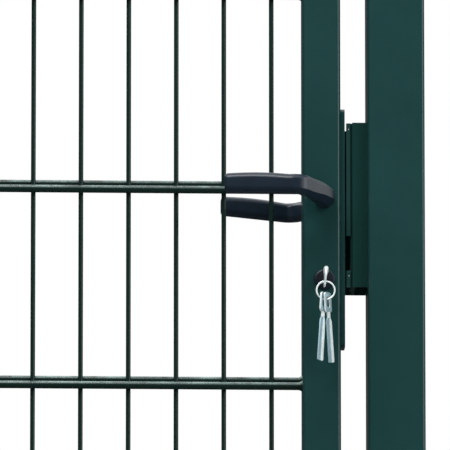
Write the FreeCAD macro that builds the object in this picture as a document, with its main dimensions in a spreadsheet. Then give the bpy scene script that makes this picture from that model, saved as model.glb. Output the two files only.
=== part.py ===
import FreeCAD, Part
import math
import os
import re

from FreeCAD import Placement, Rotation, Vector

# A garden fence gate: two square posts, a tube-framed leaf filled with double wire mesh,
# a lever lock with its keys, and the strike on the lock post.
# X runs from the hinge post to the lock post, -Y faces the viewer, +Z is up.
# The origin is the centre of the hinge post's foot, at ground level.

# Driving dimensions, millimetres unless the name says degrees or count.
SIZES = {
    # how far a cutting shape runs past the face that it cuts
    "overcut": 1,
    # posts
    "post_width": 60,
    "post_wall": 2,
    "post_corner": 4,
    "post_height": 1550,
    "cap_height": 4,
    "cap_depth": 16,
    "cap_wall_gap": 0.3,
    "cap_chamfer": 1.5,
    # leaf frame
    "frame_tube": 40,
    "frame_wall": 2,
    "frame_corner": 4,
    "leaf_width": 844,
    "leaf_height": 1400,
    "ground_gap": 50,
    "hinge_gap": 52,
    "lock_gap": 28,
    # double wire mesh
    "upright_wire": 5,
    "cross_wire": 8,
    "wire_pitch": 50,
    "row_pitch": 209.5,
    "least_wire_margin": 25,
    "least_row_margin": 100,
    "weld_bite": 0.3,
    "back_wire_lift": 8,
    # hinges
    "hinge_inset": 120,
    "pin_offset": 18,
    "pin_width": 12,
    "pin_gap": 0.05,
    "pin_rise": 6,
    "pin_head_width": 18,
    "pin_head_height": 3,
    "eye_width": 22,
    "eye_height": 24,
    "eye_rest_gap": 0.3,
    "shank_width": 12,
    "shank_tail": 12,
    "nut_flats": 19,
    "nut_height": 6,
    "washer_width": 24,
    "washer_height": 2,
    "bracket_width": 40,
    "bracket_height": 90,
    "bracket_plate": 4,
    "bracket_arm": 8,
    # lock
    "handle_row": 4,
    "spindle_drop": 11,
    "lock_backset": 17,
    "spindle_width": 8,
    "spindle_gap": 0.4,
    "spindle_hole_gap": 1,
    "cylinder_drop": 87,
    "cylinder_width": 17,
    "cylinder_proud": 4,
    "cylinder_gap": 0.1,
    "rosette_width": 22,
    "rosette_height": 3,
    "plug_width": 11,
    "plug_depth": 22,
    "plug_proud": 0.5,
    "forend_width": 24,
    "forend_sheet": 4.7,
    "forend_above": 98,
    "forend_below": 157,
    "case_width": 16,
    "case_depth": 30,
    "case_above": 84,
    "case_below": 112,
    "latch_height": 22,
    "latch_width": 11,
    "latch_rise": 32,
    "latch_proud": 0.8,
    "dead_bolt_height": 28,
    "dead_bolt_drop": 45,
    "bolt_length": 22,
    "bolt_gap": 0.3,
    # handles
    "lever_length": 105.5,
    "lever_tall": 22,
    "lever_thick": 13,
    "lever_lift": 4.5,
    "lever_tip_lift": 8,
    "neck_width": 22,
    "boss_reach": 33,
    "boss_bend": 14,
    "elbow_side": 28,
    "elbow_reach": 76,
    "elbow_bend": 12,
    "tip_reach": 58,
    "handle_gap": 0.3,
    "spindle_socket": 24,
    # strike on the lock post
    "strike_clear": 5.8,
    "strike_above": 82,
    "strike_below": 94,
    "strike_sheet": 3,
    "strike_front": 17,
    "strike_plate_sheet": 2,
    "strike_plate_width": 24,
    "strike_slot_gap": 2,
    "stop_overlap": 12,
    "stop_tab_height": 34,
    "stop_tab_rise": 34,
    "stop_tab_drop": 62,
    "stop_lip": 4,
    "buffer_height": 5,
    "buffer_gap": 0.3,
    "screw_rise": 75,
    "screw_drop": 82,
    "screw_head_width": 8,
    "screw_head_height": 0.5,
    "screw_shank_width": 4,
    "screw_end": 3,
    # keys
    "key_sheet": 2,
    "key_blade_width": 8,
    "key_blade_length": 20,
    "key_slot_gap": 0.1,
    "key_shoulder": 4,
    "key_shoulder_height": 10,
    "key_bite": 1,
    "key_bow_width": 24,
    "key_hole_width": 5,
    "key_hole_out": 4,
    "key_hole_drop": 5.5,
    "ring_rest_gap": 0.3,
    "ring_width": 21,
    "ring_wire": 2,
    "hung_bow_width": 12,
    "hung_bow_height": 21,
    "hung_bow_top": 7,
    "hung_hole_width": 8,
    "hung_seat": 1.45,
    "hung_neck_width": 4,
    "hung_neck_height": 5,
    "hung_blade_width": 9.5,
    "hung_blade_length": 48,
    "hung_spread": 2,
    "hung_turn_degrees": 60,
    "hung_lean_degrees": 6.5,
}

# Places worked out from the driving dimensions.
PLACES = {
    "leaf_left": "post_width / 2 + hinge_gap",
    "leaf_right": "leaf_left + leaf_width",
    "leaf_bottom": "ground_gap",
    "leaf_top": "ground_gap + leaf_height",
    "lock_post_middle": "leaf_right + lock_gap + post_width / 2",
    "lock_post_face": "leaf_right + lock_gap",
    "pin_place": "leaf_left - pin_offset",
    "lower_hinge": "leaf_bottom + hinge_inset",
    "upper_hinge": "leaf_top - hinge_inset",
    "tube_face": "frame_tube / 2",
    "wire_spaces": "floor((leaf_width - 2 * frame_tube - 2 * least_wire_margin) / wire_pitch)",
    "row_spaces": "floor((leaf_height - 2 * frame_tube - 2 * least_row_margin) / row_pitch)",
    "first_wire": "leaf_left + leaf_width / 2 - wire_spaces * wire_pitch / 2",
    "first_row": "ground_gap + leaf_height / 2 - row_spaces * row_pitch / 2",
    "wire_step": "(upright_wire + cross_wire) / 2 - weld_bite",
    "lock_line": "leaf_right - lock_backset",
    "spindle_height": "first_row + handle_row * row_pitch - spindle_drop",
    "cylinder_height": "spindle_height - cylinder_drop",
    "forend_face": "leaf_right + forend_sheet",
    "strike_face": "forend_face + strike_clear",
    "web_face": "strike_face + strike_plate_sheet",
    "stop_face": "tube_face + buffer_gap + buffer_height",
    "bow_middle": "tube_face + cylinder_proud + key_shoulder + key_bow_width / 2 - key_bite",
    "ring_line": "bow_middle + key_hole_out",
    "ring_top": "cylinder_height - key_hole_drop - key_hole_width / 2 + ring_wire / 2 + ring_rest_gap",
    "ring_radius": "(ring_width - ring_wire) / 2",
    "hung_height": "ring_top - ring_radius - sqrt(ring_radius ^ 2 - hung_spread ^ 2)",
}

# The latch and the dead bolt: the height of each one's middle above the spindle, and its own height.
BOLTS = (("latch_rise", "latch_height"), ("-dead_bolt_drop", "dead_bolt_height"))
# Heights above the spindle of the strike's screws and of its stop tabs.
SCREWS = ("screw_rise", "-screw_drop")
STOPS = ("stop_tab_rise", "-stop_tab_drop")

# Sections at each bend of a lever, and where they lie along its grip, as shares of the grip.
BEND_STEPS = 3
GRIP_SHARES = (0.35, 0.7, 0.97)
# Corner radii as shares of the section's smaller side, and the tip's section as shares of the grip's.
FOOT_ROUND = 0.48
NECK_ROUND = 0.45
GRIP_ROUND = 0.42
TIP_ROUND = 0.34
TIP_THICK = 0.7
TIP_TALL = 0.75

WORD = re.compile(r"[a-z_]+")
# A point counts as on a plane within NEAR millimetres of it.
# An edge counts as running along an axis when its cosine is over STRAIGHT.
NEAR = 1e-3
STRAIGHT = 0.999
TO_X = Rotation(Vector(0, 1, 0), 90)
TO_Y = Rotation(Vector(1, 0, 0), -90)
UNTURNED = Rotation()

doc = FreeCAD.newDocument("fence_gate")


def bound(text):
    """The text of an expression, with each size and place qualified by the object that holds it."""

    def qualify(match):
        word = match.group(0)
        if word in SIZES:
            return "dims." + word
        if word in PLACES:
            return "places." + word
        return word

    return WORD.sub(qualify, text)


def make_sheet():
    sheet = doc.addObject("Spreadsheet::Sheet", "dims")
    for row, (name, size) in enumerate(SIZES.items(), start=1):
        sheet.set(f"A{row}", name)
        sheet.set(f"B{row}", str(size))
        sheet.setAlias(f"B{row}", name)
    doc.recompute()
    return sheet


def make_places():
    places = doc.addObject("App::VarSet", "places")
    for name, text in PLACES.items():
        places.addProperty("App::PropertyFloat", name)
        places.setExpression(name, bound(text))
    doc.recompute()
    return places


sheet = make_sheet()
places = make_places()


def size(name):
    """A driving dimension's or a place's number, read back from the document."""
    return float(getattr(places if name in PLACES else sheet, name))


def put(thing, field, at, turn):
    """Places a thing: the turn is fixed, and each coordinate is an expression."""
    setattr(thing, field, Placement(Vector(), turn))
    for axis, text in zip("xyz", at):
        thing.setExpression(f"{field}.Base.{axis}", bound(text))


def new_body(label, at=("0", "0", "0"), turn=UNTURNED):
    body = doc.addObject("PartDesign::Body", label)
    body.Label = label
    body.AllowCompound = True
    put(body, "Placement", at, turn)
    return body


def ground_plane(body):
    return next(f for f in body.Origin.OriginFeatures if f.Role == "XY_Plane")


def add(body, kind, at=("0", "0", "0"), turn=UNTURNED, **sizes):
    """A PartDesign primitive in a body, with its sizes as expressions."""
    feature = body.newObject("PartDesign::" + kind, f"{body.Label}_{kind}")
    feature.AttachmentSupport = [(ground_plane(body), "")]
    feature.MapMode = "FlatFace"
    put(feature, "AttachmentOffset", at, turn)
    for name, text in sizes.items():
        feature.setExpression(name, bound(text))
    return feature


def add_block(body, at, length, width, height, cut=False, turn=UNTURNED):
    kind = "SubtractiveBox" if cut else "AdditiveBox"
    return add(body, kind, at, turn, Length=length, Width=width, Height=height)


def add_rod(body, at, radius, height, cut=False, turn=UNTURNED):
    kind = "SubtractiveCylinder" if cut else "AdditiveCylinder"
    return add(body, kind, at, turn, Radius=radius, Height=height)


def edges_where(feature, test):
    """The names of the feature's straight edges whose direction and middle pass the test."""
    doc.recompute()
    names = []
    for number, edge in enumerate(feature.Shape.Edges, start=1):
        if edge.Curve.TypeId == "Part::GeomLine":
            run = edge.Vertexes[-1].Point - edge.Vertexes[0].Point
            if test(run.normalize(), edge.CenterOfMass):
                names.append(f"Edge{number}")
    return names


def cut_bolt_slots(body, start, depth, gap):
    """A slot across the body's X for the latch and one for the dead bolt, with a gap all round each bolt."""
    for bolt_middle, bolt_height in BOLTS:
        add_block(
            body,
            (start, f"-latch_width / 2 - {gap}", f"{bolt_middle} - {bolt_height} / 2 - {gap}"),
            depth,
            f"latch_width + 2 * {gap}",
            f"{bolt_height} + 2 * {gap}",
            cut=True,
        )


def cut_screw_holes(body, sheet_height):
    for height in SCREWS:
        add_rod(
            body,
            ("-overcut", "0", height),
            "screw_shank_width / 2 + pin_gap",
            f"{sheet_height} + 2 * overcut",
            cut=True,
            turn=TO_X,
        )


def soften(body, base, names, radius, kind="Fillet"):
    feature = body.newObject("PartDesign::" + kind, f"{body.Label}_{kind}")
    feature.Base = (base, names)
    feature.setExpression("Radius" if kind == "Fillet" else "Size", bound(radius))
    return feature


def upright(run, middle):
    return abs(run.z) > STRAIGHT


def square_tube(body, width, wall, corner, length):
    """A square tube up the body's Z axis, with rounded corners outside and inside."""
    outside = add_block(body, (f"-{width} / 2", f"-{width} / 2", "0"), width, width, length)
    soften(body, outside, edges_where(outside, upright), corner)
    bore = f"({width} - 2 * {wall})"
    inside = add_block(body, (f"-{bore} / 2", f"-{bore} / 2", "0"), bore, bore, length, cut=True)
    reach = size(width) / 2 - size(wall)


    def inner(run, middle):
        return upright(run, middle) and abs(abs(middle.x) - reach) < NEAR

    soften(body, inside, edges_where(inside, inner), f"{corner} - {wall}")


def post(label, x):
    square_tube(new_body(label, (x, "0", "0")), "post_width", "post_wall", "post_corner", "post_height")


def post_cap(label, x):
    body = new_body(label, (x, "0", "post_height"))
    low_corner = ("-post_width / 2", "-post_width / 2", "0")
    plate = add_block(body, low_corner, "post_width", "post_width", "cap_height")
    corners = soften(body, plate, edges_where(plate, upright), "post_corner")
    top = edges_where(corners, lambda run, middle: middle.z > size("cap_height") - NEAR)
    soften(body, corners, top, "cap_chamfer", kind="Chamfer")
    plug = "(post_width - 2 * post_wall - 2 * cap_wall_gap)"
    add_block(body, (f"-{plug} / 2", f"-{plug} / 2", "-cap_depth"), plug, plug, "cap_depth")
    doc.recompute()
    pegs = edges_where(body.Tip, lambda run, middle: upright(run, middle) and middle.z < 0)
    soften(body, body.Tip, pegs, "post_corner - post_wall")


def mitred_tube(label, at, turn, length):
    """A frame tube up the body's Z axis whose inner side, +X, is shorter by a mitre at each end."""
    body = new_body(label, at, turn)
    square_tube(body, "frame_tube", "frame_wall", "frame_corner", length)
    half = "sqrt(0.5) * frame_tube"
    add_block(
        body,
        (f"-frame_tube / 2 + {half}", "-frame_tube", f"-3 * {half}"),
        "3 * frame_tube",
        "2 * frame_tube",
        "2 * frame_tube",
        cut=True,
        turn=Rotation(Vector(0, 1, 0), -45),
    )
    add_block(
        body,
        (f"-frame_tube / 2 - {half}", "-frame_tube", f"{length} + {half}"),
        "3 * frame_tube",
        "2 * frame_tube",
        "2 * frame_tube",
        cut=True,
        turn=Rotation(Vector(0, 1, 0), 45),
    )
    return body


def hinge_stile():
    foot = ("leaf_left + frame_tube / 2", "0", "leaf_bottom")
    body = mitred_tube("hinge_stile", foot, UNTURNED, "leaf_height")
    for height in ("lower_hinge", "upper_hinge"):
        add_rod(
            body,
            ("-frame_tube", "0", f"{height} - leaf_bottom"),
            "shank_width / 2 + pin_gap",
            "2 * frame_tube",
            cut=True,
            turn=TO_X,
        )


def lock_stile():
    """The stile is turned half round, so its -X side is the outer one that carries the forend."""
    half_turn = Rotation(Vector(0, 0, 1), 180)
    foot = ("leaf_right - frame_tube / 2", "0", "leaf_bottom")
    body = mitred_tube("lock_stile", foot, half_turn, "leaf_height")
    spindle = "spindle_height - leaf_bottom"
    line = "frame_tube / 2 - lock_backset"
    add_block(
        body,
        ("-frame_tube / 2 - overcut", "-case_width / 2 - bolt_gap", f"{spindle} - case_below - bolt_gap"),
        "frame_wall + 2 * overcut",
        "case_width + 2 * bolt_gap",
        "case_above + case_below + 2 * bolt_gap",
        cut=True,
    )
    across = "2 * frame_tube"
    hub = "spindle_width * sqrt(0.5) + spindle_hole_gap"
    barrel = "cylinder_width / 2 + cylinder_gap"
    for height, radius in ((spindle, hub), (f"{spindle} - cylinder_drop", barrel)):
        add_rod(body, (f"-({line})", "-frame_tube", height), radius, across, cut=True, turn=TO_Y)


def rails():
    lay = Rotation(Vector(1, 0, 1), 180)
    mitred_tube("bottom_rail", ("leaf_left", "0", "leaf_bottom + frame_tube / 2"), lay, "leaf_width")
    mitred_tube("top_rail", ("leaf_left", "0", "leaf_top - frame_tube / 2"), TO_X, "leaf_width")


def wire(name, across, length, at, turn):
    """One eight-sided wire whose flats face the row's Y, so that crossing wires bite flat on flat."""
    bar = doc.addObject("Part::Prism", name)
    bar.Polygon = 8
    bar.setExpression("Circumradius", bound(f"{across} / 2 / cos(22.5 deg)"))
    bar.setExpression("Height", bound(length))
    put(bar, "Placement", at, turn * Rotation(Vector(0, 0, 1), 22.5))
    return bar


def wire_mesh():
    wires = []
    for column in range(int(round(size("wire_spaces"))) + 1):
        at = (f"first_wire + {column} * wire_pitch", "0", "leaf_bottom + frame_tube")
        wires.append(wire(f"upright_{column}", "upright_wire", "leaf_height - 2 * frame_tube", at, UNTURNED))
    for row in range(int(round(size("row_spaces"))) + 1):
        for side, lift in (("-wire_step", "0"), ("wire_step", "back_wire_lift")):
            at = ("leaf_left + frame_tube", side, f"first_row + {row} * row_pitch + {lift}")
            wires.append(wire("cross", "cross_wire", "leaf_width - 2 * frame_tube", at, TO_X))
    mesh = doc.addObject("Part::MultiFuse", "wire_mesh")
    mesh.Label = "wire_mesh"
    mesh.Shapes = wires
    mesh.Refine = True


def hinge(which, height):
    """A post bracket, its pin, and the eye bolt and nuts that carry the stile, all about one pin line."""
    arm_top = "-eye_height / 2 - eye_rest_gap"
    bracket = new_body(f"{which}_hinge_bracket", ("post_width / 2", "0", height))
    reach = "hinge_gap - pin_offset"
    add_block(
        bracket,
        ("0", "-bracket_width / 2", f"{arm_top} - bracket_arm / 2 - bracket_height / 2"),
        "bracket_plate",
        "bracket_width",
        "bracket_height",
    )
    add_block(bracket, ("0", "-eye_width / 2", f"{arm_top} - bracket_arm"), reach, "eye_width", "bracket_arm")
    add_rod(bracket, (reach, "0", f"{arm_top} - bracket_arm"), "eye_width / 2", "bracket_arm")
    add_rod(
        bracket,
        (reach, "0", f"{arm_top} - 2 * bracket_arm"),
        "pin_width / 2 + pin_gap",
        "3 * bracket_arm",
        cut=True,
    )
    pin = new_body(f"{which}_hinge_pin", ("pin_place", "0", height))
    foot = f"{arm_top} - bracket_arm"
    add_rod(pin, ("0", "0", f"{foot} - pin_head_height"), "pin_head_width / 2", "pin_head_height")
    shaft = "pin_head_height / 2 + bracket_arm + eye_rest_gap + eye_height + pin_rise"
    add_rod(pin, ("0", "0", f"{foot} - pin_head_height / 2"), "pin_width / 2", shaft)
    eye = new_body(f"{which}_eye_bolt", ("pin_place", "0", height))
    add_rod(eye, ("0", "0", "-eye_height / 2"), "eye_width / 2", "eye_height")
    tail = "pin_offset + frame_tube + washer_height + nut_height + shank_tail - eye_width / 4"
    add_rod(eye, ("eye_width / 4", "0", "0"), "shank_width / 2", tail, turn=TO_X)
    add_rod(eye, ("0", "0", "-eye_height"), "pin_width / 2 + pin_gap", "2 * eye_height", cut=True)
    nuts = new_body(f"{which}_hinge_nuts", ("leaf_left", "0", height))
    corner = "nut_flats / sqrt(3)"
    for place in ("-nut_height", "frame_tube + washer_height"):
        nut = add(nuts, "AdditivePrism", (place, "0", "0"), TO_X, Circumradius=corner, Height="nut_height")
        nut.Polygon = 6
    add_rod(nuts, ("frame_tube", "0", "0"), "washer_width / 2", "washer_height", turn=TO_X)
    bore = "shank_width / 2 + pin_gap"
    add_rod(nuts, ("-frame_tube", "0", "0"), bore, "3 * frame_tube", cut=True, turn=TO_X)


def lock_forend():
    body = new_body("lock_forend", ("leaf_right", "0", "spindle_height"))
    plate = add_block(
        body,
        ("0", "-forend_width / 2", "-forend_below"),
        "forend_sheet",
        "forend_width",
        "forend_above + forend_below",
    )
    corners = edges_where(plate, lambda run, middle: abs(run.x) > STRAIGHT)
    soften(body, plate, corners, "forend_width / 6")
    cut_bolt_slots(body, "-overcut", "forend_sheet + 2 * overcut", "bolt_gap")


def lock_case():
    body = new_body("lock_case", ("leaf_right", "0", "spindle_height"))
    add_block(
        body,
        ("-case_depth", "-case_width / 2", "-case_below"),
        "case_depth",
        "case_width",
        "case_above + case_below",
    )
    hub = "spindle_width * sqrt(0.5) + spindle_gap"
    barrel = "cylinder_width / 2 + cylinder_gap"
    for height, radius in (("0", hub), ("-cylinder_drop", barrel)):
        add_rod(body, ("-lock_backset", "-case_width", height), radius, "2 * case_width", cut=True, turn=TO_Y)
    cut_bolt_slots(body, "-bolt_length", "bolt_length + overcut", "bolt_gap")


def lock_bolts():
    """The latch and the dead bolt, both drawn back so that only their ends stand in the forend's slots."""
    for label, (bolt_middle, bolt_height) in zip(("latch_bolt", "dead_bolt"), BOLTS):
        body = new_body(label, ("leaf_right", "0", f"spindle_height + {bolt_middle}"))
        bolt = add_block(
            body,
            ("-bolt_length", "-latch_width / 2", f"-{bolt_height} / 2"),
            "bolt_length + forend_sheet + latch_proud",
            "latch_width",
            bolt_height,
        )
        front = size("forend_sheet") + size("latch_proud")
        nose = edges_where(bolt, lambda run, middle: upright(run, middle) and abs(middle.x - front) < NEAR)
        soften(body, bolt, nose, "latch_proud", kind="Chamfer")


def lock_cylinder():
    body = new_body("cylinder_body", ("lock_line", "0", "cylinder_height"))
    half = "(tube_face + cylinder_proud)"
    add_rod(body, ("0", f"-{half}", "0"), "cylinder_width / 2", f"2 * {half}", turn=TO_Y)
    bore = "plug_width / 2 + pin_gap"
    add_rod(body, ("0", f"-{half} - overcut", "0"), bore, "plug_depth + overcut", cut=True, turn=TO_Y)
    slot = "(key_sheet + 2 * key_slot_gap)"
    add_block(
        body,
        (f"-{slot} / 2", f"{half} - plug_depth", "-key_blade_width / 2"),
        slot,
        "plug_depth + overcut",
        "key_blade_width",
        cut=True,
    )
    for label, side in (("front_rosette", "-tube_face - rosette_height"), ("rear_rosette", "tube_face")):
        rosette = new_body(label, ("lock_line", side, "cylinder_height"))
        add_rod(rosette, ("0", "0", "0"), "rosette_width / 2", "rosette_height", turn=TO_Y)
        bore = "cylinder_width / 2 + cylinder_gap"
        add_rod(rosette, ("0", "-rosette_height", "0"), bore, "3 * rosette_height", cut=True, turn=TO_Y)
    plug = new_body("cylinder_plug", ("lock_line", f"-{half} - plug_proud", "cylinder_height"))
    add_rod(plug, ("0", "0", "0"), "plug_width / 2", "plug_depth + plug_proud - cylinder_gap", turn=TO_Y)
    add_block(
        plug,
        (f"-{slot} / 2", "-overcut", "-key_blade_width / 2 - key_slot_gap"),
        slot,
        "key_blade_length + key_slot_gap + overcut",
        "key_blade_width + 2 * key_slot_gap",
        cut=True,
    )


def handle_spindle():
    body = new_body("handle_spindle", ("lock_line", "0", "spindle_height"))
    half = "(tube_face + spindle_socket)"
    side = "spindle_width"
    add_block(body, (f"-{side} / 2", f"-{half}", f"-{side} / 2"), side, f"2 * {half}", side)


def rounded_section(middle, along, thick, tall, corner):
    """A rounded rectangle square to a level direction: thick across it, tall up it."""
    across = Vector(along.y, -along.x, 0).normalize()
    up = Vector(0, 0, 1)

    def at(u, v):
        return middle + across * u + up * v

    edges = []
    half_u, half_v = thick / 2, tall / 2
    arcs = []
    for su, sv in ((1, 1), (-1, 1), (-1, -1), (1, -1)):
        cu, cv = su * (half_u - corner), sv * (half_v - corner)
        bend = corner * math.sqrt(0.5)
        first = at(cu + su * corner, cv)
        last = at(cu, cv + sv * corner)
        through = at(cu + su * bend, cv + sv * bend)
        arcs.append((first, through, last) if su * sv > 0 else (last, through, first))
    for index, (first, through, last) in enumerate(arcs):
        edges.append(Part.Arc(first, through, last).toShape())
        edges.append(Part.LineSegment(last, arcs[(index + 1) % 4][0]).toShape())
    return Part.Wire(edges)


def bend_points(before, corner, after, radius):
    """Points and directions along the arc that rounds a corner of a lever's line, seen from above."""
    inward = (corner - before).normalize()
    outward = (after - corner).normalize()
    turn = inward.getAngle(outward)
    side = (outward - inward * inward.dot(outward)).normalize()
    start = corner - inward * (radius * math.tan(turn / 2))
    for step in range(BEND_STEPS + 1):
        angle = turn * step / BEND_STEPS
        place = start + inward * (radius * math.sin(angle)) + side * (radius * (1 - math.cos(angle)))
        yield place, inward * math.cos(angle) + side * math.sin(angle)


def lever_stations():
    """Places, directions and section sizes from the boss's foot to the tip, for the lever on the +Y side."""
    neck, thick, tall = size("neck_width"), size("lever_thick"), size("lever_tall")
    foot = Vector(0, size("tube_face") + size("handle_gap"), 0)
    boss = Vector(0, size("boss_reach"), 0)
    elbow = Vector(-size("elbow_side"), size("elbow_reach"), 0)
    tip = Vector(-size("lever_length"), size("tip_reach"), 0)
    lift, tip_lift = size("lever_lift"), size("lever_tip_lift")
    line = [(foot, Vector(0, 1, 0))]
    line += bend_points(foot, boss, elbow, size("boss_bend"))
    elbow_line = list(bend_points(boss, elbow, tip, size("elbow_bend")))
    for place, along in line:
        yield place, along, neck, neck, (FOOT_ROUND if place == foot else NECK_ROUND) * neck
    for place, along in elbow_line:
        place.z = lift
        yield place, along, thick, tall, GRIP_ROUND * thick
    grip_start, along = elbow_line[-1]
    for share in GRIP_SHARES:
        place = grip_start + (tip - grip_start) * share
        place.z = lift + (tip_lift - lift) * share
        yield place, along, thick, tall, GRIP_ROUND * thick
    end = tip + Vector(0, 0, tip_lift)
    yield end, along, TIP_THICK * thick, TIP_TALL * tall, TIP_ROUND * thick


def lever_sections(side):
    """The sections of the lever on the -Y side, -1, or the +Y side, 1: each mirrors the other."""
    wires = []
    for place, along, width, height, corner in lever_stations():
        middle = Vector(place.x, side * place.y, place.z)
        wires.append(rounded_section(middle, Vector(along.x, side * along.y, 0), width, height, corner))
    return wires


def handle(label, side):
    """A moulded lever: the loft from its sections, with the square socket for the spindle cut in its neck."""
    grip = Part.makeLoft(lever_sections(side), True, False)
    width = size("spindle_width")
    depth = size("tube_face") + size("spindle_socket")
    start = 0 if side > 0 else -depth
    socket = Part.makeBox(width, depth, width, Vector(-width / 2, start, -width / 2))
    feature = doc.addObject("Part::Feature", label)
    feature.Label = label
    feature.Shape = grip.cut(socket)
    put(feature, "Placement", ("lock_line", "0", "spindle_height"), UNTURNED)


def strike_bracket():
    """A folded strike: web, front return to the post, and a rear plate whose tabs stop the leaf."""
    body = new_body("strike_bracket", ("web_face", "0", "spindle_height"))
    tall = "strike_above + strike_below"
    depth = "strike_front + stop_face + strike_sheet"
    add_block(body, ("0", "-strike_front", "-strike_below"), "strike_sheet", depth, tall)
    run = "(lock_post_face - web_face)"
    add_block(body, ("0", "-strike_front", "-strike_below"), run, "strike_sheet", tall)
    add_block(
        body,
        ("-strike_plate_sheet - stop_lip", "stop_face", "-strike_below"),
        f"{run} + strike_plate_sheet + stop_lip",
        "strike_sheet",
        tall,
    )
    for low in STOPS:
        add_block(
            body,
            ("leaf_right - stop_overlap - web_face", "stop_face", low),
            "web_face - leaf_right + stop_overlap",
            "strike_sheet",
            "stop_tab_height",
        )
    cut_bolt_slots(body, "-overcut", "strike_sheet + 2 * overcut", "strike_slot_gap")
    cut_screw_holes(body, "strike_sheet")


def strike_plate():
    body = new_body("strike_plate", ("strike_face", "0", "spindle_height"))
    add_block(
        body,
        ("0", "-strike_plate_width / 2", "-strike_below"),
        "strike_plate_sheet",
        "strike_plate_width",
        "strike_above + strike_below",
    )
    cut_bolt_slots(body, "-overcut", "strike_plate_sheet + 2 * overcut", "strike_slot_gap")
    cut_screw_holes(body, "strike_plate_sheet")


def strike_screws():
    body = new_body("strike_screws", ("strike_face", "0", "spindle_height"))
    for height in SCREWS:
        shank = "strike_plate_sheet + strike_sheet + screw_end"
        add_rod(body, ("0", "0", height), "screw_shank_width / 2", shank, turn=TO_X)
        add(
            body,
            "AdditiveCone",
            ("-screw_head_height", "0", height),
            TO_X,
            Radius1="screw_head_width / 4",
            Radius2="screw_head_width / 2",
            Height="screw_head_height",
        )


def stop_buffers():
    body = new_body("stop_buffers", ("leaf_right - stop_overlap", "tube_face + buffer_gap", "spindle_height"))
    for low in STOPS:
        add_block(body, ("0", "0", low), "stop_overlap", "buffer_height", "stop_tab_height")


def key_in_lock():
    """The key's plane stands upright and in line with the lock's axis, with its bow towards the viewer."""
    body = new_body("key_in_lock", ("lock_line", "0", "cylinder_height"))
    face = "(tube_face + cylinder_proud)"
    add_rod(
        body,
        ("-key_sheet / 2", "-bow_middle", "0"),
        "key_bow_width / 2",
        "key_sheet",
        turn=TO_X,
    )
    add_block(
        body,
        ("-key_sheet / 2", f"-{face} - plug_proud - key_shoulder", "-key_shoulder_height / 2"),
        "key_sheet",
        "key_shoulder",
        "key_shoulder_height",
    )
    add_block(
        body,
        ("-key_sheet / 2", f"-{face} - plug_proud - key_shoulder", "-key_blade_width / 2"),
        "key_sheet",
        "key_shoulder + key_blade_length",
        "key_blade_width",
    )
    add_rod(
        body,
        ("-key_sheet", "-ring_line", "-key_hole_drop"),
        "key_hole_width / 2",
        "2 * key_sheet",
        cut=True,
        turn=TO_X,
    )


def key_ring():
    body = new_body("key_ring", ("lock_line", "-ring_line", "ring_top - ring_radius"))
    add(body, "AdditiveTorus", ("0", "0", "0"), TO_Y, Radius1="ring_radius", Radius2="ring_wire / 2")


def hanging_key(label, side):
    """A flat key hung on the ring's foot: the ring's wire passes its origin and its blade hangs down -Z."""
    turn = Rotation(Vector(0, 0, 1), size("hung_turn_degrees"))
    lean = Rotation(Vector(0, 1, 0), -side * size("hung_lean_degrees"))
    at = (f"lock_line + {side} * hung_spread", "-ring_line", "hung_height")
    body = new_body(label, at, turn * lean)
    bow = add_block(
        body,
        ("-hung_bow_width / 2", "-key_sheet / 2", "hung_bow_top - hung_bow_height"),
        "hung_bow_width",
        "key_sheet",
        "hung_bow_height",
    )
    corners = edges_where(bow, lambda run, middle: abs(run.y) > STRAIGHT)
    soften(body, bow, corners, "hung_bow_width / 4")
    neck_foot = "hung_bow_top - hung_bow_height - hung_neck_height"
    add_block(
        body,
        ("-hung_neck_width / 2", "-key_sheet / 2", f"{neck_foot} - key_bite"),
        "hung_neck_width",
        "key_sheet",
        "hung_neck_height + 2 * key_bite",
    )
    add_block(
        body,
        ("-hung_blade_width / 2", "-key_sheet / 2", f"{neck_foot} - hung_blade_length"),
        "hung_blade_width",
        "key_sheet",
        "hung_blade_length",
    )
    add_rod(
        body,
        ("0", "-key_sheet", "-hung_seat"),
        "hung_hole_width / 2",
        "2 * key_sheet",
        cut=True,
        turn=TO_Y,
    )


def build():
    post("hinge_post", "0")
    post("lock_post", "lock_post_middle")
    post_cap("hinge_post_cap", "0")
    post_cap("lock_post_cap", "lock_post_middle")
    hinge_stile()
    lock_stile()
    rails()
    wire_mesh()
    hinge("lower", "lower_hinge")
    hinge("upper", "upper_hinge")
    lock_forend()
    lock_case()
    lock_bolts()
    lock_cylinder()
    handle_spindle()
    handle("front_handle", -1)
    handle("rear_handle", 1)
    strike_bracket()
    strike_plate()
    strike_screws()
    stop_buffers()
    key_in_lock()
    key_ring()
    hanging_key("left_hanging_key", -1)
    hanging_key("right_hanging_key", 1)


NODES = (
    "hinge_post lock_post hinge_post_cap lock_post_cap "
    "lower_hinge_bracket upper_hinge_bracket lower_hinge_pin upper_hinge_pin "
    "strike_bracket strike_plate strike_screws stop_buffers "
    "hinge_stile lock_stile top_rail bottom_rail wire_mesh "
    "lower_eye_bolt upper_eye_bolt lower_hinge_nuts upper_hinge_nuts "
    "lock_forend lock_case latch_bolt dead_bolt cylinder_body front_rosette rear_rosette "
    "front_handle rear_handle handle_spindle cylinder_plug key_in_lock "
    "key_ring left_hanging_key right_hanging_key"
).split()


def check_and_write():
    doc.recompute()
    for thing in doc.Objects:
        if "Invalid" in thing.State or "Error" in thing.State:
            raise RuntimeError(f"{thing.Label} failed: {thing.State}")
    os.makedirs("parts", exist_ok=True)
    for label in NODES:
        (thing,) = doc.getObjectsByLabel(label)
        shape = thing.Shape
        if shape.isNull() or not shape.isValid():
            raise RuntimeError(f"{label} has no valid shape")
        shape.exportStep(f"parts/{label}.step")
        print(label, len(shape.Solids), round(shape.Volume, 1))


build()
check_and_write()
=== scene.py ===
import math

import bmesh
import bpy
from bpy.props import FloatProperty, FloatVectorProperty, IntProperty, PointerProperty
from mathutils import Matrix, Vector


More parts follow.
